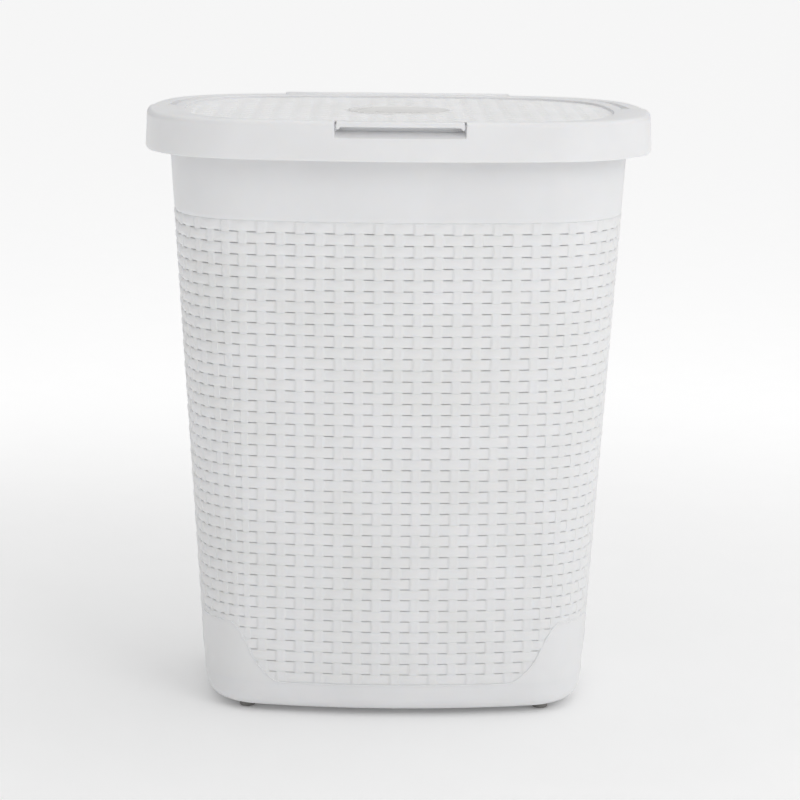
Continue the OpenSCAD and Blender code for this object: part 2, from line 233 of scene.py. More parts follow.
def moulded(name, light, dark, rough, skin_mm, depth_mm, subsurface=0.0, strand_mm=None):
    """A moulded plastic: two close tones in broad patches, uneven gloss, and a skin with grains of skin_mm.
    strand_mm adds the fine ridges that run along each woven strand, from the piece's own UV map."""
    material = bpy.data.materials.new(name)
    material.use_nodes = True
    tree = material.node_tree
    tree.nodes.clear()
    place = add_node(tree, "ShaderNodeTexCoord").outputs["Object"]
    cloud = add_node(tree, "ShaderNodeTexNoise", {}, {"Vector": place, "Scale": 1 / 0.06, "Detail": 3.0})
    tone = add_node(tree, "ShaderNodeValToRGB", {}, {"Fac": cloud.outputs["Fac"]})
    tone.color_ramp.elements[0].position, tone.color_ramp.elements[1].position = 0.35, 0.65
    tone.color_ramp.elements[0].color, tone.color_ramp.elements[1].color = srgb(dark), srgb(light)
    gloss = add_node(tree, "ShaderNodeMapRange", {}, {
        "Value": cloud.outputs["Fac"], "To Min": rough - 0.04, "To Max": rough + 0.04})
    skin = add_node(tree, "ShaderNodeTexNoise", {}, {
        "Vector": place, "Scale": 1 / (skin_mm * MM), "Detail": 2.0})
    bump = add_node(tree, "ShaderNodeBump", {}, {
        "Height": skin.outputs["Fac"], "Distance": depth_mm * MM, "Strength": 0.5})
    if strand_mm:
        uv = add_node(tree, "ShaderNodeTexCoord").outputs["UV"]
        ridge = add_node(tree, "ShaderNodeTexWave", {"bands_direction": "Y"}, {
            "Vector": uv, "Scale": math.pi / (10 * strand_mm), "Distortion": 0.6, "Detail": 1.0})
        bump = add_node(tree, "ShaderNodeBump", {}, {
            "Height": ridge.outputs["Fac"], "Distance": 0.12 * MM, "Strength": 0.6,
            "Normal": bump.outputs["Normal"]})
    shader = add_node(tree, "ShaderNodeBsdfPrincipled", {}, {
        "Base Color": tone.outputs["Color"], "Roughness": gloss.outputs["Result"],
        "IOR": 1.49, "Subsurface Weight": subsurface, "Subsurface Scale": 0.003,
        "Subsurface Radius": (1.0, 0.85, 0.7),
        "Normal": bump.outputs["Normal"]})
    add_node(tree, "ShaderNodeOutputMaterial", {}, {"Surface": shader.outputs["BSDF"]})
    return material


# The real skin has grains of about 0.1 mm, drawn here at 0.7 mm so that it shows.
satin = moulded("satin_polypropylene", "#f3f3f4", "#efeff0", 0.42, 0.7, 0.03, subsurface=0.2)
# Each moulded strand carries fine ridges about 1.9 mm apart, as split cane does.
cane_look = moulded("cane_look_polypropylene", "#f4f4f5", "#f0f0f0", 0.46, 0.7, 0.03, 0.15, strand_mm=1.9)
badge_gloss = moulded("semi_gloss_polypropylene", "#f5f4f3", "#f0efed", 0.28, 0.9, 0.02)
acetal = moulded("turned_acetal", "#e6e5e2", "#dddbd7", 0.3, 0.5, 0.02)
soft_grey = moulded("soft_thermoplastic_rubber", "#918f8c", "#858380", 0.7, 0.5, 0.06)
print("materials", [m.name for m in bpy.data.materials])

# %% [markdown]
# The wall imitates cane: upright strands 16.8 mm apart, with flat strands woven over and under them.
# It is one moulding, so the weave is a height on the wall, not separate strands. It could be a bump map,
# but the slots between the strands go right through, so the relief is real geometry.

# %% Weave
PITCH, ROW = 16.8, 9.81
COLUMNS, ROWS = 72, 42
WEAVE_LOW = 30.0
WEAVE_HIGH = WEAVE_LOW + ROWS * ROW
WARP_HALF, WEFT_REACH, WEFT_HALF = 3.85, 12.95, 4.455
CREST, SLOT_RISE = 1.0, 0.5
PATCH_RISE, PATCH_CLEAR = 53.0, 3.5
SLOT_FROM = 4.15
COLUMN_LINES = np.array([-6.3, -SLOT_FROM, -3.65, -1.9, 0.0, 1.9, 3.65, SLOT_FROM, 6.3, 8.4])
LINE_SHARES = np.where(COLUMN_LINES <= 0, COLUMN_LINES + PITCH, COLUMN_LINES) / PITCH
ROW_LINES = np.array([0.45, 1.1, 2.6, 4.9, 7.2, 8.7, 9.36])


def weave_height(column, x, row, z):
    """Height of the weave at x from the middle of a column and z up from the foot of a row.
    A weft lies over where column + row is even: it falls as cos squared along its length and rounds off
    by a square and a sixth power across. Elsewhere the warp shows: it dips towards the rows above and
    below, and a sine squared cuts two shallow grooves along it."""
    over = (column + row) % 2 == 0
    away = np.where(over, np.abs(x), PITCH - np.abs(x))
    across = np.clip(np.abs(z - ROW / 2) / WEFT_HALF, 0, 1)
    along = 0.45 + 1.2 * np.cos(math.pi / 2 * np.clip(away / WEFT_REACH, 0, 1)) ** 2
    weft = along * (1 - 0.3 * across**2 - 0.55 * across**6)
    warp = 1.05 - 0.5 * across**2 - 0.22 * np.sin(math.pi * x / 3.8) ** 2
    return np.where(~over & (np.abs(x) < WARP_HALF), warp, weft)


def column_turn(u, d):
    """Turn of column u. Columns keep their pitch on the long and side arcs, and the corner takes up the
    rest."""
    _, long_angle, side_angle = arc_angles(RIM_ARCS)
    quarter = COLUMNS / 4
    k = np.floor(u / quarter) % 4
    local = np.where(k % 2 == 0, u % quarter, quarter - u % quarter)
    on_front = (RIM_ARCS["long_r"] + d) * long_angle / PITCH
    on_side = (RIM_ARCS["side_r"] + d) * side_angle / PITCH
    middle = FRONT_SHARE + (SIDE_SHARE - FRONT_SHARE) * (local - on_front) / (quarter - on_side - on_front)
    q = np.where(local <= on_front, FRONT_SHARE * local / on_front,
                 np.where(local >= quarter - on_side,
                          1 - (1 - SIDE_SHARE) * (quarter - local) / on_side, middle))
    return np.where(k % 2 == 0, k + q, k + 1 - q)


def line_columns(first, count):
    """Column coordinate of each upright line of the mesh, from the middle of column first over count."""
    lines = [first + c + LINE_SHARES for c in range(count)]
    return np.unique(np.round(np.concatenate([[first]] + lines), 6))


def patch_edge(u):
    """Height of the edge of the smooth corner patches: it lies on the weave's foot, rises by a smooth
    step on the long side, stays up round the corner, and falls by another step on the short side."""
    quarter = COLUMNS / 4
    local = np.where(np.floor(u / quarter) % 2 == 0, u % quarter, quarter - u % quarter)
    rise, fall = np.clip((local - 5.9) / 3.7, 0, 1), np.clip((17.6 - local) / 3.4, 0, 1)
    return WEAVE_LOW + PATCH_RISE * rise**2 * (3 - 2 * rise) * fall**2 * (3 - 2 * fall)


def smooth_share(u, z):
    """1 on the smooth corner patches and 0 on the weave, over 2.5 mm at their edge."""
    return np.clip((patch_edge(u) + 1.2 - z) / 2.5, 0, 1) * (patch_edge(u) > WEAVE_LOW + 0.5)


print("weave from", WEAVE_LOW, "to", round(WEAVE_HIGH, 1), "rows", ROWS, "columns", COLUMNS)

# %% [markdown]
# The woven wall is cut into four pieces at the middle of each corner, so each stays light.
# Outer and inner faces share their upright lines, and each slot is joined by four small walls.
# The slots rise a little inwards, so from above one sees their lit sills and not the inside.

# %% Woven wall
def woven_wall(name, first, count):
    """Outer face at wall_d plus the weave's height, inner face a wall's thickness in, and slots between
    the rows. Both faces are grids over the column coordinate and the height."""
    u = line_columns(first, count)
    column = np.round(u).astype(int)
    x = (u - column) * PITCH
    lines = (WEAVE_LOW + ROW * np.arange(ROWS)[:, None] + ROW_LINES).ravel()
    z = np.concatenate([[WEAVE_LOW], lines, [WEAVE_HIGH]])
    row = np.clip(np.floor((z - WEAVE_LOW) / ROW), 0, ROWS - 1).astype(int)
    local = z - WEAVE_LOW - row * ROW
    height = weave_height(column[:, None], x[:, None], (ROWS - 1 - row)[None, :], local[None, :])
    height[:, 0], height[:, -1] = CREST, 0.0
    share = smooth_share(u[:, None] % COLUMNS, z[None, :])
    height = height * (1 - share) + CREST * share
    outer_d = wall_d(z)[None, :] - CREST + height
    turn = column_turn(u[:, None] % COLUMNS, wall_d(z)[None, :])
    px, py = plan(turn, outer_d, RIM_ARCS)
    outer = np.stack([px, py, np.broadcast_to(z, px.shape)], -1)

    per_row = len(ROW_LINES)
    row_ends = [1 + per_row * r + k for r in range(ROWS) for k in (0, per_row - 1)]
    keep_z = np.array([0] + row_ends + [len(z) - 1])
    inner_z = z[keep_z] + SLOT_RISE * (np.arange(len(keep_z)) % (len(keep_z) - 1) > 0)
    px, py = plan(turn[:, keep_z], wall_d(inner_z)[None, :] - WALL_T, RIM_ARCS)
    inner = np.stack([px, py, np.broadcast_to(inner_z, px.shape)], -1)

    nu, nz, ni = len(u), len(z), len(keep_z)
    mid_u = (u[:-1] + u[1:]) / 2
    gap = np.abs(mid_u - np.round(mid_u)) * PITCH > SLOT_FROM
    band = np.zeros(nz - 1, bool)
    band[[per_row * r for r in range(1, ROWS)]] = True
    clear = z[:-1][None, :] > patch_edge(mid_u % COLUMNS)[:, None] + PATCH_CLEAR
    slot = gap[:, None] & band[None, :] & clear
    outer_quads = grid_quads(nu, nz).reshape(nu - 1, nz - 1, 4)
    inside = nu * nz
    inner_slot = slot[:, keep_z[:-1]]
    inner_quads = grid_quads(nu, ni).reshape(nu - 1, ni - 1, 4) + inside
    quads = [outer_quads[~slot], inner_quads[~inner_slot][:, ::-1]]

    def wall(o1, o2, i1, i2):
        """Joins the outer points o1 and o2 to the inner points i1 and i2."""
        quads.append(np.stack([o1, o2, i2, i1], -1).reshape(-1, 4))

    su, sj = np.nonzero(inner_slot)
    sz = keep_z[sj]
    wall(su * nz + sz, (su + 1) * nz + sz, inside + su * ni + sj, inside + (su + 1) * ni + sj)
    wall((su + 1) * nz + sz + 1, su * nz + sz + 1, inside + (su + 1) * ni + sj + 1, inside + su * ni + sj + 1)
    padded = np.pad(inner_slot, ((1, 1), (0, 0)))
    starts, sj = np.nonzero(inner_slot & ~padded[:-2])
    sz = keep_z[sj]
    wall(starts * nz + sz + 1, starts * nz + sz, inside + starts * ni + sj + 1, inside + starts * ni + sj)
    ends, sj = np.nonzero(inner_slot & ~padded[2:])
    sz, ends = keep_z[sj], ends + 1
    wall(ends * nz + sz, ends * nz + sz + 1, inside + ends * ni + sj, inside + ends * ni + sj + 1)
    i = np.arange(nu - 1)
    wall((i + 1) * nz, i * nz, inside + (i + 1) * ni, inside + i * ni)
    wall(i * nz + nz - 1, (i + 1) * nz + nz - 1, inside + i * ni + ni - 1, inside + (i + 1) * ni + ni - 1)

    quads = np.concatenate(quads)
    points = np.concatenate([outer.reshape(-1, 3), inner.reshape(-1, 3)])
    piece = add_piece(name, points, quads, "hamper", cane_look, sharp=55.0)
    strand_uv(piece, np.concatenate([np.repeat(u * PITCH, nz), np.repeat(u * PITCH, ni)]),
              np.concatenate([np.tile(z, nu), np.tile(z[keep_z], nu)]), WEAVE_LOW, ROWS - 1)


def strand_uv(piece, x, z, foot, top_row):
    """UV map in units of 10 mm: along the strand, then across it, for the strand that is on top."""
    mesh = piece.data
    loops = np.zeros(len(mesh.loops), np.int32)
    mesh.loops.foreach_get("vertex_index", loops)
    corners = loops.reshape(-1, 4)
    cx, cz = x[corners].mean(1), z[corners].mean(1)
    column = np.round(cx / PITCH)
    row = np.clip(np.floor((cz - foot) / ROW), 0, top_row)
    is_warp = ((column + top_row - row) % 2 == 1) & (np.abs(cx - column * PITCH) < WARP_HALF)
    along = np.where(is_warp[:, None], z[corners], x[corners])
    across = np.where(is_warp[:, None], x[corners], z[corners])
    layer = mesh.uv_layers.new(name="strands")
    layer.data.foreach_set("uv", (np.stack([along, across], -1) / 10).astype(np.float32).ravel())


QUARTER = COLUMNS // 4
for number, side in enumerate(("right", "back", "left", "front")):
    woven_wall("wicker_" + side, QUARTER // 2 + number * QUARTER, QUARTER)

# %% [markdown]
# A closed profile carried round the outline makes each smooth ring: the band above the weave with its
# flange, and the base with its rounded edge and floor. The floor's rings shrink to a point in the middle.

# %% Smooth parts of the tub
RING = column_turn(line_columns(0, COLUMNS)[1:] % COLUMNS, wall_d(WEAVE_HIGH))


def carry(profile, turns, arcs=RIM_ARCS):
    """Each profile point (d, z) becomes the outline moved by d at height z, as [turn, point, xyz]."""
    profile = np.asarray(profile, float)
    px, py = plan(turns[:, None], profile[None, :, 0], arcs)
    return np.stack([px, py, np.broadcast_to(profile[:, 1], px.shape)], -1)


def top_band():
    """Wall above the weave, out over the flange with rounded edges, and down the inside."""
    low, lip, under = WEAVE_HIGH, 0.7, TUB_TOP - FLANGE_T
    profile = np.concatenate([
        [[wall_d(low) - WALL_T, low], [wall_d(low) - CREST, low], [wall_d(low) - 0.3, low + 0.3],
         [wall_d(low + 0.9), low + 0.9]],
        [[wall_d(z), z] for z in np.linspace(low + 4, under - 1.2, 8)],
        arc_points(wall_d(under) + 1.2, under - 1.2, 1.2, 180, 90, 4),
        arc_points(-FLANGE_IN - lip, under + lip, lip, -90, 0, 4),
        arc_points(-FLANGE_IN - lip, TUB_TOP - lip, lip, 0, 90, 4),
        arc_points(wall_d(TUB_TOP) - WALL_T + lip, TUB_TOP - lip, lip, 90, 180, 4),
        [[wall_d(z) - WALL_T, z] for z in np.linspace(TUB_TOP - 4, low + 4, 6)]])
    grid = carry(profile, RING)
    return add_grid("tub_top_band", grid, (True, True), "hamper", satin)


def base():
    """Rounded edge from the weave's foot to the underside, and the floor and its fillet inside."""
    outer_d, inner_r = wall_d(BASE_Z + BASE_R), BASE_R - WALL_T
    inner_d = wall_d(FLOOR_Z + inner_r) - WALL_T
    shell = np.concatenate([
        [[outer_d - BASE_R, BASE_Z]],
        arc_points(outer_d - BASE_R, BASE_Z + BASE_R, BASE_R, -90, 0, 12)[1:],
        [[wall_d(WEAVE_LOW - 4), WEAVE_LOW - 4], [wall_d(WEAVE_LOW), WEAVE_LOW],
         [wall_d(WEAVE_LOW) - WALL_T, WEAVE_LOW]],
        arc_points(inner_d - inner_r, FLOOR_Z + inner_r, inner_r, 0, -90, 10)])
    rings = carry(shell, RING)
    shrink = np.linspace(1, 0, 9)[1:, None, None]
    under = rings[:, 0, :][None] * np.array([1, 1, 0]) * shrink + np.array([0, 0, BASE_Z])
    floor = rings[:, -1, :][None] * np.array([1, 1, 0]) * shrink + np.array([0, 0, FLOOR_Z])
    grid = np.concatenate([under[::-1].transpose(1, 0, 2), rings, floor.transpose(1, 0, 2)], 1)
    return add_grid("tub_base", grid, (True, False), "hamper", satin)


def edge_bead():
    """Thin raised line along the foot of the weave and up over the corner patches, a half round in
    section."""
    u = np.linspace(0, COLUMNS, 720, endpoint=False)
    z = patch_edge(u)
    angle = np.radians(np.linspace(-90, 90, 7))
    out = np.concatenate([[-0.6], 0.65 * np.cos(angle), [-0.6]])
    up = np.concatenate([[-0.8], 0.8 * np.sin(angle), [0.8]])
    turn = column_turn(u, wall_d(z))
    px, py = plan(turn[:, None], wall_d(z)[:, None] + out[None, :], RIM_ARCS)
    grid = np.stack([px, py, z[:, None] + up[None, :]], -1)
    return add_grid("weave_edge_bead", grid, (True, True), "hamper", satin)


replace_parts(top_band(), "tub")
base()
edge_bead()

# %% [markdown]
# The rim is one line round the hamper, but two parts: the front half turns with the lid and the back half
# stays. The lid's ring is one profile carried all the way round, and it changes shape on the way: a full
# skirt in front, a pocket for the fingers under the lip, and only a narrow border at the back.

# %% Ring of the lid
PANEL_FRONT = 12.0
POCKET_Z, SHELF_RISE, POCKET_D = RIM_TOP - 13.4, 5.4, 11.0
GRIP_HALF = 55.0
BORDER_IN, BORDER_DROP = 25.0, 0.7
SKIRT_T, DRAFT, SHOULDER = 2.4, 1.2, 5.0
RIM_SHARP = 32.0


def profile_rows(*parts):
    """Rows (d, share of the panel outline, offset of it, z) of a profile, joined end to end."""
    return np.concatenate([np.atleast_2d(np.asarray(p, float)) for p in parts])


def rim_part(dz):
    """Points (d, z) that lie on the rim's outline."""
    dz = np.asarray(dz, float)
    return np.stack([dz[:, 0], 0 * dz[:, 0], 0 * dz[:, 0], dz[:, 1]], -1)


def panel_part(pz):
    """Points (offset, z) that lie on the panel's outline."""
    pz = np.asarray(pz, float)
    return np.stack([0 * pz[:, 0], 0 * pz[:, 0] + 1, pz[:, 0], pz[:, 1]], -1)


def between(a, b, n):
    """n points evenly from a to b, both included."""
    return np.array(a) + (np.array(b) - np.array(a)) * np.linspace(0, 1, n)[:, None]


low_edge = arc_points(-0.6, SKIRT_Z + 0.6, 0.6, -90, 0, 3)
panel_rim = arc_points(0.9, RIM_TOP - 0.9, 0.9, 90, 180, 4)
under_z = RIM_TOP - SKIRT_T
skirt = profile_rows(
    rim_part([[-SKIRT_T, SKIRT_Z], *low_edge]),
    rim_part(between([-0.1, SKIRT_Z + 3], [-0.87, POCKET_Z - 1], 5)),
    rim_part(between([-0.88, POCKET_Z - 0.6], [-DRAFT, RIM_TOP - SHOULDER], 4)),
    rim_part(arc_points(-DRAFT - SHOULDER, RIM_TOP - SHOULDER, SHOULDER, 0, 90, 8)),
    panel_part(panel_rim), panel_part(between([0, RIM_TOP - 1.5], [0, PANEL_Z - 3], 3)),
    panel_part([[2, PANEL_Z - 3], [2, under_z]]),
    rim_part([[-DRAFT - SHOULDER, under_z], [-DRAFT - SKIRT_T, RIM_TOP - SHOULDER]]),
    rim_part([[-SKIRT_T - 0.3, POCKET_Z - 2.4]]))

# Rows of the skirt: its foot, two straight runs and the shoulder, then the rim of the panel and its wall.
shelf_row = 1 + len(low_edge) + 5
outline_count = shelf_row + 4 + 9
wall_row = outline_count + len(panel_rim)
shelf_top, hollow = POCKET_Z + SHELF_RISE - 1.0, -13.6
shelf = np.concatenate([
    arc_points(-1.7, POCKET_Z - 0.8, 0.8, 0, 90, 3),
    between([-3.0, POCKET_Z + 0.9], [-POCKET_D + 0.6, shelf_top - 0.2], 4),
    [[-POCKET_D, shelf_top], [hollow, shelf_top + 0.2], [hollow, PANEL_Z - 3.0], [-11.3, PANEL_Z - 3.0],
     [-11.2, PANEL_Z]]])
pocket = skirt.copy()
pocket[shelf_row:shelf_row + len(shelf)] = rim_part(shelf)
pocket[wall_row:wall_row + 3, 3] = [RIM_TOP - 1.5, PANEL_Z - 0.8, PANEL_Z - 2.6]
pocket[-5:] = rim_part([
    [hollow - 1.0, PANEL_Z - 2.6], [hollow - 1.4, shelf_top - 0.6], [-11.5, shelf_top - 1.0],
    [-5.5, POCKET_Z + 1.0], [-SKIRT_T - 0.2, POCKET_Z - 1.4]])

border_top, edge = RIM_TOP - BORDER_DROP, -BORDER_IN
border = skirt.copy()
LEDGE_D, LEDGE_Z = -18.2, TUB_TOP + 1.9
border[:outline_count] = rim_part(np.concatenate([
    between([LEDGE_D, LEDGE_Z - 0.8], [LEDGE_D, LEDGE_Z - 0.2], 3),
    between([LEDGE_D - 0.2, LEDGE_Z], [edge + 0.5, LEDGE_Z + 0.1], 4),
    between([edge, LEDGE_Z + 0.6], [edge, border_top - 0.7], 7),
    arc_points(edge - 0.6, border_top - 0.6, 0.6, 0, 90, outline_count - 15)]))
border[outline_count:outline_count + 5, 3] -= BORDER_DROP
border[-3:] = rim_part([[edge - 2.0, under_z], [edge - 1.8, LEDGE_Z - 0.8], [LEDGE_D - 0.2, LEDGE_Z - 1.0]])


def quarter_turns(last):
    """Turns from 0 to last, at even steps on each of the three arcs of a quarter."""
    return np.concatenate([np.linspace(0, FRONT_SHARE, 44), np.linspace(FRONT_SHARE, SIDE_SHARE, 26)[1:],
                           np.linspace(SIDE_SHARE, last, 22)[1:]])


def ring_turns():
    """Turns of the lid's ring: even steps, with close ones at the pocket's ends and at the seam."""
    quarter = quarter_turns(1)
    turns = np.concatenate([quarter, 2 - quarter[-2::-1], 2 + quarter[1:], 4 - quarter[-2:0:-1]])
    ends = pocket_end() + np.array([-0.0045, -0.003, -0.0015, 0.0, 0.0015, 0.003, 0.0045]) / 3
    seam = 1 - SEAM * np.array([1.0, 0.75, 0.5, 0.25])
    return np.unique(np.round(np.mod(np.concatenate([turns, ends, 4 - ends, seam, 4 - seam]), 4), 7))


def pocket_end():
    """Turn at which the pocket ends, at GRIP_HALF from the middle on the long arc."""
    _, long_angle, _ = arc_angles(RIM_ARCS)
    return FRONT_SHARE * math.asin(GRIP_HALF / RIM_ARCS["long_r"]) / long_angle


SEAM = 0.5 / (RIM_ARCS["side_r"] * arc_angles(RIM_ARCS)[2]) * (1 - SIDE_SHARE)


def smooth_step(t):
    """3 t^2 - 2 t^3, held between 0 and 1."""
    t = np.clip(t, 0, 1)
    return t * t * (3 - 2 * t)


def lid_ring():
    """Profile mixed from skirt, pocket and border by turn, on the rim's and the panel's outlines."""
    turns = ring_turns()
    from_front = np.minimum(turns, 4 - turns)
    in_pocket = smooth_step((pocket_end() + 0.0015 - from_front) / 0.003)[:, None, None]
    at_back = smooth_step((from_front - (1 - SEAM)) / (0.75 * SEAM) + 0.5)[:, None, None]
    rows = skirt[None] * (1 - in_pocket) + pocket[None] * in_pocket
    rows = rows * (1 - at_back) + border[None] * at_back
    rx, ry = plan(turns[:, None], rows[..., 0], RIM_ARCS)
    px, py = plan(turns[:, None], rows[..., 2], PANEL_ARCS)
    share = rows[..., 1]
    grid = np.stack([rx * (1 - share) + px * share, ry * (1 - share) + py * share, rows[..., 3]], -1)
    return add_grid("lid_ring", grid, (True, True), "lid", satin, RIM_SHARP)


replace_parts(lid_ring(), "lid")

# %% [markdown]
# The sunken panel of the lid carries the same weave, moulded without slots. Its grid is cut to the outline
# by drawing every point that lies outside back on to it, and a flat margin runs round the edge.

# %% Woven panel of the lid
LID_RELIEF, MARGIN_LEVEL = 1.2, 0.9


def panel_reach(x, y):
    """Distance of the outline and of the point itself from the panel's centre, in the same direction."""
    turns = np.linspace(0, 4, 1441)
    ox, oy = plan(turns, 0.0, PANEL_ARCS)
    oy = oy - PANEL_ARCS["shift"]
    angle = np.unwrap(np.arctan2(oy, ox))
    here = np.arctan2(y - PANEL_ARCS["shift"], x)
    here = np.where(here < angle[0], here + 2 * math.pi, here)
    edge_r = np.interp(here, angle, np.hypot(ox, oy))
    return edge_r, np.hypot(x, y - PANEL_ARCS["shift"])


def lid_panel():
    """Height field of the weave over the panel, an open sheet that lies on the panel's back plate."""
    columns = np.arange(-12, 13)
    x = np.unique(np.round((columns[:, None] * PITCH + COLUMN_LINES).ravel(), 4))
    foot = PANEL_ARCS["shift"] - PANEL_ARCS["b"] - 2
    rows = int((2 * PANEL_ARCS["b"] + 4) / ROW) + 1
    y = (foot + ROW * np.arange(rows)[:, None] + ROW_LINES).ravel()
    column = np.round(x / PITCH).astype(int)
    row = np.floor((y - foot) / ROW).astype(int)
    height = weave_height(column[:, None], (x - column * PITCH)[:, None],
                          row[None, :], (y - foot - row * ROW)[None, :])
    gx, gy = np.meshgrid(x, y, indexing="ij")
    edge_r, r = panel_reach(gx, gy)
    inside = r < edge_r - 0.5
    pull = np.where(inside, 1.0, edge_r / np.maximum(r, 1e-6))
    gx, gy = gx * pull, (gy - PANEL_ARCS["shift"]) * pull + PANEL_ARCS["shift"]
    badge_away = np.hypot(gx, gy - BADGE_Y) - BADGE_R
    margin = np.clip(smooth_step((7 - (edge_r - r)) / 3) + smooth_step((4 - badge_away) / 2), 0, 1)
    height = height * (1 - margin) + MARGIN_LEVEL * margin
    grid = np.stack([gx, gy, PANEL_Z - 1.0 + LID_RELIEF * height], -1)
    quads = grid_quads(*grid.shape[:2])
    quads = quads[inside.ravel()[quads].any(1)]
    piece = add_piece("lid_wicker_panel", grid, quads, "lid", cane_look, 55.0,
                      outwards=False)
    strand_uv(piece, np.repeat(x, len(y)), np.tile(y, len(x)), foot, rows)


def panel_underside():
    """Flat plate that closes the panel from below, with its rings drawn in to the middle."""
    turns = ring_turns()
    ox, oy = plan(turns, 1.0, PANEL_ARCS)
    k = np.linspace(1, 0, 8)[:, None]
    low = PANEL_Z - 2.4
    top = np.stack([ox * k, (oy - PANEL_ARCS["shift"]) * k + PANEL_ARCS["shift"], 0 * ox * k + low + 1.0], -1)
    under = top[::-1] * [1, 1, 0] + [0, 0, low]
    grid = np.concatenate([top[::-1], under[::-1]]).transpose(1, 0, 2)
    return add_grid("lid_panel_back", grid, (True, False), "lid", satin)


lid_panel()
panel_underside()

# %% [markdown]
# A finger lip covers the pocket. It is a thin tongue of the same moulding with its front edge and its two
# ends turned down, so that fingertips go in below it and pull up.

# %% Finger lip
def finger_lip():
    """Closed profile (distance in from the rim, z) carried across the front: its edge grows deeper near
    the ends, as a quarter circle of 2.5 mm."""
    width = GRIP_HALF - 1.6
    end = pocket_end() * width / GRIP_HALF
    last = np.array([0.93, 0.945, 0.955, 0.962, 0.97, 0.985, 0.995, 1.0])
    s = np.concatenate([-last[::-1], np.linspace(-0.9, 0.9, 41), last])
    in_mm = (1 - np.abs(s)) * width
    corner = np.clip(1 - (in_mm - 2.0) / 2.5, 0, 1)
    drop = 4.4 + 2.2 * (1 - np.sqrt(1 - corner**2))
    top, front, thick = RIM_TOP - 0.1, 1.9, 1.6
    outer = arc_points(-front - 1.3, top - 1.3, 1.3, 90, 0, 5)
    rows = [[-PANEL_FRONT + 0.4, top], [-8.0, top], *outer]
    count = len(rows)
    grid = np.zeros((len(s), count + 6, 2))
    grid[:, :count] = rows
    grid[:, count] = np.stack([0 * s - front, top - drop + 0.5], -1)
    grid[:, count + 1] = np.stack([0 * s - front - 0.5, top - drop], -1)
    grid[:, count + 2] = np.stack([0 * s - front - thick + 0.4, top - drop], -1)
    grid[:, count + 3] = np.stack([0 * s - front - thick, top - drop + 0.5], -1)
    grid[:, count + 4] = [-front - thick, top - thick - 0.6]
    grid[:, count + 5] = [-PANEL_FRONT + 0.4, top - thick]
    edge_in = np.clip(1 - in_mm / 0.5, 0, 1)[:, None]
    middle = grid.mean(1, keepdims=True)
    grid = middle + (grid - middle) * (1 - 0.12 * edge_in[..., None] ** 2)
    turn = s * end
    px, py = plan(turn[:, None], grid[..., 0], RIM_ARCS)
    points = np.stack([px, py, grid[..., 1]], -1)
    caps = np.stack([points[[0, -1]].mean(1)] * points.shape[1], 1)
    points = np.concatenate([caps[:1], points, caps[1:]])
    return add_grid("finger_lip", points, (False, True), "lid", satin)


finger_lip()

# %% [markdown]
# The fixed collar carries the rim's line round the back. It is clipped to the tub's flange, its top is
# cut away where the hinge barrel turns, and two ears hold the hinge pins.

# %% Rear collar
NOTCH_Y = hinge_y + BARREL_R + BARREL_GAP
NOTCH_IN = HALF_D - NOTCH_Y


def rear_collar():
    """Profile of skirt, shoulder, top and inner leg, carried round the back half. Where the barrel lies,
    the leg is drawn up and the top ends on a straight line behind the barrel, at NOTCH_Y."""
    top, in_edge = collar_high[2], 17.0
    full = np.concatenate([
        [[-SKIRT_T, SKIRT_Z], *arc_points(-0.6, SKIRT_Z + 0.6, 0.6, -90, 0, 3)],
        between([-0.1, SKIRT_Z + 3], [-DRAFT, top - SHOULDER], 6),
        arc_points(-DRAFT - SHOULDER, top - SHOULDER, SHOULDER, 0, 90, 8)[1:],
        arc_points(-in_edge + 0.8, top - 0.8, 0.8, 90, 180, 4),
        [[-in_edge, TUB_TOP], [-in_edge + 2.2, TUB_TOP], [-in_edge + 2.2, top - SKIRT_T]],
        [[-DRAFT - SHOULDER, top - SKIRT_T], [-DRAFT - SKIRT_T, top - SHOULDER]]])
    cut = full.copy()
    leg = np.arange(len(full) - 10, len(full) - 2)
    cut[leg[:5], 0] += in_edge - NOTCH_IN
    cut[leg[5:], :] = [[-NOTCH_IN, top - SKIRT_T + 0.9], [-NOTCH_IN, top - SKIRT_T + 0.6],
                       [-NOTCH_IN, top - SKIRT_T + 0.3]]
    _, long_angle, _ = arc_angles(RIM_ARCS)
    notch = FRONT_SHARE * math.asin(EAR_X / (RIM_ARCS["long_r"] - 12)) / long_angle
    close = notch + np.array([-0.002, -0.001, 0, 0.001])
    half = np.unique(np.round(np.concatenate([quarter_turns(1 - SEAM), close]), 7))
    turns = np.concatenate([2 - half[::-1], 2 + half[1:]])
    inside = smooth_step((notch - np.abs(turns - 2)) / 0.002)[:, None, None]
    straight = (NOTCH_Y - plan(turns, 0.0, RIM_ARCS)[1])[:, None]
    open_cut = np.broadcast_to(cut, (len(turns), *cut.shape)).copy()
    open_cut[..., 0] = np.maximum(open_cut[..., 0], straight)
    rows = full[None] * (1 - inside) + open_cut * inside
    px, py = plan(turns[:, None], rows[..., 0], RIM_ARCS)
    grid = np.stack([px, py, rows[..., 1]], -1)
    piece = add_grid("rear_rim_collar", grid, (False, True), "hamper", satin, RIM_SHARP)
    close_ends(piece)
    return piece


def close_ends(piece):
    """Fills the first and last profile of an open sweep with triangles that keep inside its outline."""
    bm = bmesh.new()
    bm.from_mesh(piece.data)
    bm.verts.ensure_lookup_table()
    holes = [e for e in bm.edges if e.is_boundary]
    filled = bmesh.ops.holes_fill(bm, edges=holes, sides=0)["faces"]
    bmesh.ops.triangulate(bm, faces=filled)
    bmesh.ops.recalc_face_normals(bm, faces=bm.faces)
    bm.to_mesh(piece.data)
    bm.free()
    piece.data.set_sharp_from_angle(angle=math.radians(RIM_SHARP))
    print(piece.name, "ends closed with", len(filled), "faces")


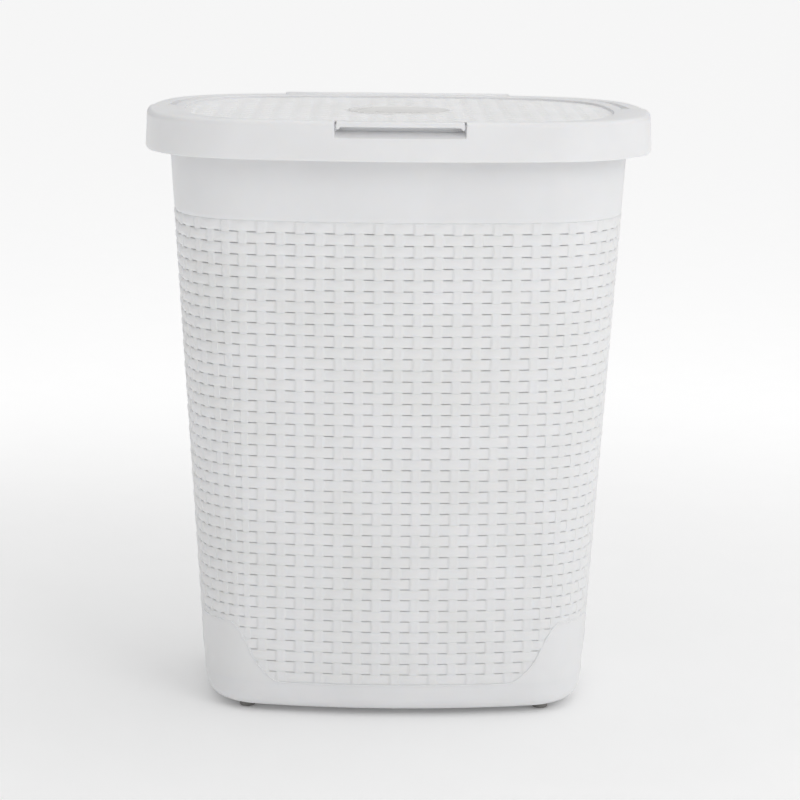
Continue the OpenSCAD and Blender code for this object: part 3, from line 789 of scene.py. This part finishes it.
def turned(profile, steps=48):
    """Profile (along, radius) turned about its axis; result is [angle, point, (along, across, up)]."""
    profile = np.asarray(profile, float)
    angle = np.linspace(0, 2 * math.pi, steps, endpoint=False)[:, None]
    along = np.broadcast_to(profile[:, 0], (steps, len(profile)))
    return np.stack([along, profile[:, 1] * np.cos(angle), profile[:, 1] * np.sin(angle)], -1)


def hinge_ear(name, x):
    """Upright ear round the pin: a half round of the barrel's size on straight sides, with eased edges."""
    radius, foot = 4.4, TUB_TOP + 0.3 - hinge_z
    angle = np.radians(np.linspace(0, 180, 17))
    outline_yz = np.concatenate([np.stack([radius * np.cos(angle), radius * np.sin(angle)], -1) * [1, 0.55],
                                 [[-radius, foot], [radius, foot]]])
    sizes = np.array([0.0, 0.9, 1.0, 1.0, 0.9, 0.0])
    depth = np.array([0.0, 0.0, 0.5, EAR_W - 0.5, EAR_W, EAR_W])
    grid = np.stack([np.stack([0 * outline_yz[:, 0] + x + dx, hinge_y + outline_yz[:, 0] * k,
                               hinge_z + outline_yz[:, 1] * k], -1) for dx, k in zip(depth, sizes)])
    return add_grid(name, grid, (False, True), "hamper", satin)


collar = rear_collar()
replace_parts(collar, "rear_collar")
hinge_ear("hinge_ear_right", EAR_X)
hinge_ear("hinge_ear_left", -EAR_X - EAR_W)

# %% [markdown]
# The barrel is moulded on the lid and turns on two pins. It stands just above the rim, so it shows as
# a straight bar along the back, with eased ends. A leaf joins it to the lid's border.

# %% Hinge barrel
def hinge_barrel():
    """Outer cylinder with eased ends and a bore at each end, turned about the hinge axis."""
    half, r, bore, reach, ease = EAR_X - 0.3, BARREL_R, 2.06, 18.0, 0.8
    side = [[half - reach, 0.0], [half - reach, bore], [half, bore],
            [half, r - ease], [half - 0.25, r - 0.25], [half - ease, r]]
    profile = np.array([*side, [half / 2, r], [0, r], [-half / 2, r], *[[-x, q] for x, q in side[::-1]]])
    grid = turned(profile) + [0, hinge_y, hinge_z]
    return add_grid("hinge_barrel", grid, (True, False), "lid", satin)


def hinge_leaf():
    """Plate from the border of the lid to the barrel, thicker where it meets the barrel."""
    front, half = HALF_D - PANEL_BACK + 1.0, EAR_X - 3.3
    section = np.array([[front, hinge_z + 0.2], [hinge_y, hinge_z - 1.6], [hinge_y, hinge_z + 2.8],
                        [hinge_y - 5.5, RIM_TOP - BORDER_DROP - 0.4], [front, RIM_TOP - BORDER_DROP - 0.4]])
    x = np.array([-half, -half, -half + 0.5, 0, half - 0.5, half, half])
    k = np.array([0, 0.88, 1, 1, 1, 0.88, 0])
    middle = section.mean(0)
    shaped = middle + (section - middle)[None] * k[:, None, None]
    grid = np.stack([np.broadcast_to(x[:, None], shaped.shape[:2]), shaped[..., 0], shaped[..., 1]], -1)
    return add_grid("hinge_leaf", grid, (False, True), "lid", satin)


hinge_barrel()
hinge_leaf()
for side in ("left", "right"):
    pin = frame["nodes"]["hinge_pin_" + side].data
    pin.materials.clear()
    pin.materials.append(acetal)

# %% [markdown]
# A plain round badge is set in the panel. It is a shallow dish with a raised edge, and carries no mark.
# The four feet are soft pads with a rounded tread, pressed into the floor by their stems.

# %% Badge and feet
def upright(grid, x, y, z):
    """Stands a turned shape on end at x, y, z: along becomes up."""
    return np.stack([grid[..., 1] + x, grid[..., 2] + y, grid[..., 0] + z], -1)


def badge():
    """Disc turned from a profile with a raised edge, a step and a shallow dished middle."""
    r, t = BADGE_R, badge_high[2] - badge_low[2]
    edge = [[0, 0], [0, r - 0.3], [0.3, r], [t - 0.4, r], [t - 0.1, r - 0.3], [t, r - 0.8], [t, r - 2.2]]
    dish = [[t - 0.25, r - 2.9], [t - 0.55, r - 3.4], [t - 0.6, r - 8], [t - 0.35, r - 9],
            [t - 0.35, r - 16], [t - 0.6, r - 17], [t - 0.7, r * 0.3], [t - 0.72, 0]]
    profile = edge + dish
    grid = upright(turned(profile, 96), 0, BADGE_Y, badge_low[2])
    piece = add_grid("round_badge", grid, (True, False), "lid", badge_gloss, 50.0)
    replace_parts(piece, "centre_badge")


def foot(name):
    """Pad with a rounded tread and a slight waist below the tub, turned about its own axis."""
    low, high = box_mm(name)
    r, h = (high[0] - low[0]) / 2, BASE_Z
    profile = [[0, 0], [0, r - 1.8], [0.2, r - 1.1], [0.6, r - 0.4], [1.2, r], [h * 0.5, r - 0.15],
               [h - 0.6, r], [h, r - 0.5], [h, 3.0], [high[2] - 0.4, 3.0], [high[2], 2.6], [high[2], 0]]
    grid = upright(turned(profile, 40), (low[0] + high[0]) / 2, (low[1] + high[1]) / 2, 0.0)
    piece = add_grid(name + "_pad", grid, (True, False), "hamper", soft_grey)
    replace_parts(piece, name)


badge()
for end in ("front", "rear"):
    for side in ("left", "right"):
        foot(f"foot_{end}_{side}")

# %% [markdown]
# The hamper stands on a pale floor in soft, nearly even light that is a little stronger from the right.
# Two broad lamps keep the shadows of the weave soft, and a pale surrounding fills them. The surrounding
# is brighter above and on the right, so that the rounded corners shade off to the left. The paper under
# the hamper is lit a little from below, as on a light table, and more strongly away from the hamper.

# %% Studio
def studio():
    """Floor, surrounding and two broad lamps."""
    floor_mesh = bpy.data.meshes.new("studio_floor")
    far = 40.0
    corners = [(-far, -far, 0), (far, -far, 0), (far, far, 0), (-far, far, 0)]
    floor_mesh.from_pydata(corners, [], [(0, 1, 2, 3)])
    floor = bpy.data.objects.new("studio_floor", floor_mesh)
    bpy.context.scene.collection.objects.link(floor)
    paper = moulded("lit_matt_paper", "#ffffff", "#fefefe", 0.9, 4.0, 0.01)
    tree = paper.node_tree
    shader = next(n for n in tree.nodes if n.type == "BSDF_PRINCIPLED")
    shader.inputs["Emission Color"].default_value = (1, 1, 1, 1)
    place = add_node(tree, "ShaderNodeTexCoord").outputs["Object"]
    away = add_node(tree, "ShaderNodeVectorMath", {"operation": "LENGTH"}, {0: place}).outputs["Value"]
    glow = add_node(tree, "ShaderNodeMapRange", {"interpolation_type": "SMOOTHSTEP"}, {
        "Value": away, "From Min": 0.3, "From Max": 1.6, "To Min": 0.05, "To Max": 0.24})
    tree.links.new(glow.outputs["Result"], shader.inputs["Emission Strength"])
    floor_mesh.materials.append(paper)
    world = bpy.data.worlds.new("studio_white")
    world.use_nodes = True
    tree = world.node_tree
    tree.nodes.clear()
    towards = add_node(tree, "ShaderNodeTexCoord").outputs["Generated"]
    share = add_node(tree, "ShaderNodeVectorMath", {"operation": "DOT_PRODUCT"}, {
        0: towards, 1: (0.16, 0.0, 0.47)}).outputs["Value"]
    level = add_node(tree, "ShaderNodeMath", {"operation": "ADD"}, {0: share, 1: 0.38}).outputs["Value"]
    sky = add_node(tree, "ShaderNodeBackground", {}, {"Color": (1, 1, 1, 1), "Strength": level})
    add_node(tree, "ShaderNodeOutputWorld", {}, {"Surface": sky.outputs["Background"]})
    bpy.context.scene.world = world
    for name, place, size, power in (("key_right", (1.6, -2.2, 1.9), 1.4, 12.0),
                                     ("top_soft", (0.1, 0.2, 2.4), 1.8, 5.0)):
        lamp = bpy.data.lights.new(name, "AREA")
        lamp.size, lamp.energy = size, power
        holder = bpy.data.objects.new(name, lamp)
        aim = Vector((0, 0, 0.3)) - Vector(place)
        holder.matrix_world = Matrix.Translation(place) @ aim.to_track_quat("-Z", "Y").to_matrix().to_4x4()
        bpy.context.scene.collection.objects.link(holder)
    bpy.context.scene.view_settings.view_transform = "Standard"


studio()

# %% [markdown]
# The camera stands a little above the rim and looks slightly down, from far off, so the sides stay
# nearly upright. Its direction is built from three small angles.

# %% Camera
def camera():
    """Forward, right and down directions from pitch, yaw and roll; the camera looks along its own -Z."""
    pitch, yaw, roll = 0.1881, 0.0110, -0.0105
    forward = Vector((math.sin(yaw) * math.cos(pitch), math.cos(yaw) * math.cos(pitch), -math.sin(pitch)))
    right = Vector((math.cos(yaw), -math.sin(yaw), 0))
    down = forward.cross(right)
    side = math.cos(roll) * right + math.sin(roll) * down
    drop = -math.sin(roll) * right + math.cos(roll) * down
    lens = bpy.data.cameras.new("camera")
    lens.sensor_width, lens.lens = 36.0, 118.31
    holder = bpy.data.objects.new("camera", lens)
    turn = Matrix((side, -drop, -forward)).transposed().to_4x4()
    holder.matrix_world = Matrix.Translation((-0.02204, -2.34896, 0.7098)) @ turn
    bpy.context.scene.collection.objects.link(holder)
    bpy.context.scene.camera = holder
    print("camera at", tuple(round(v, 3) for v in holder.location))


camera()
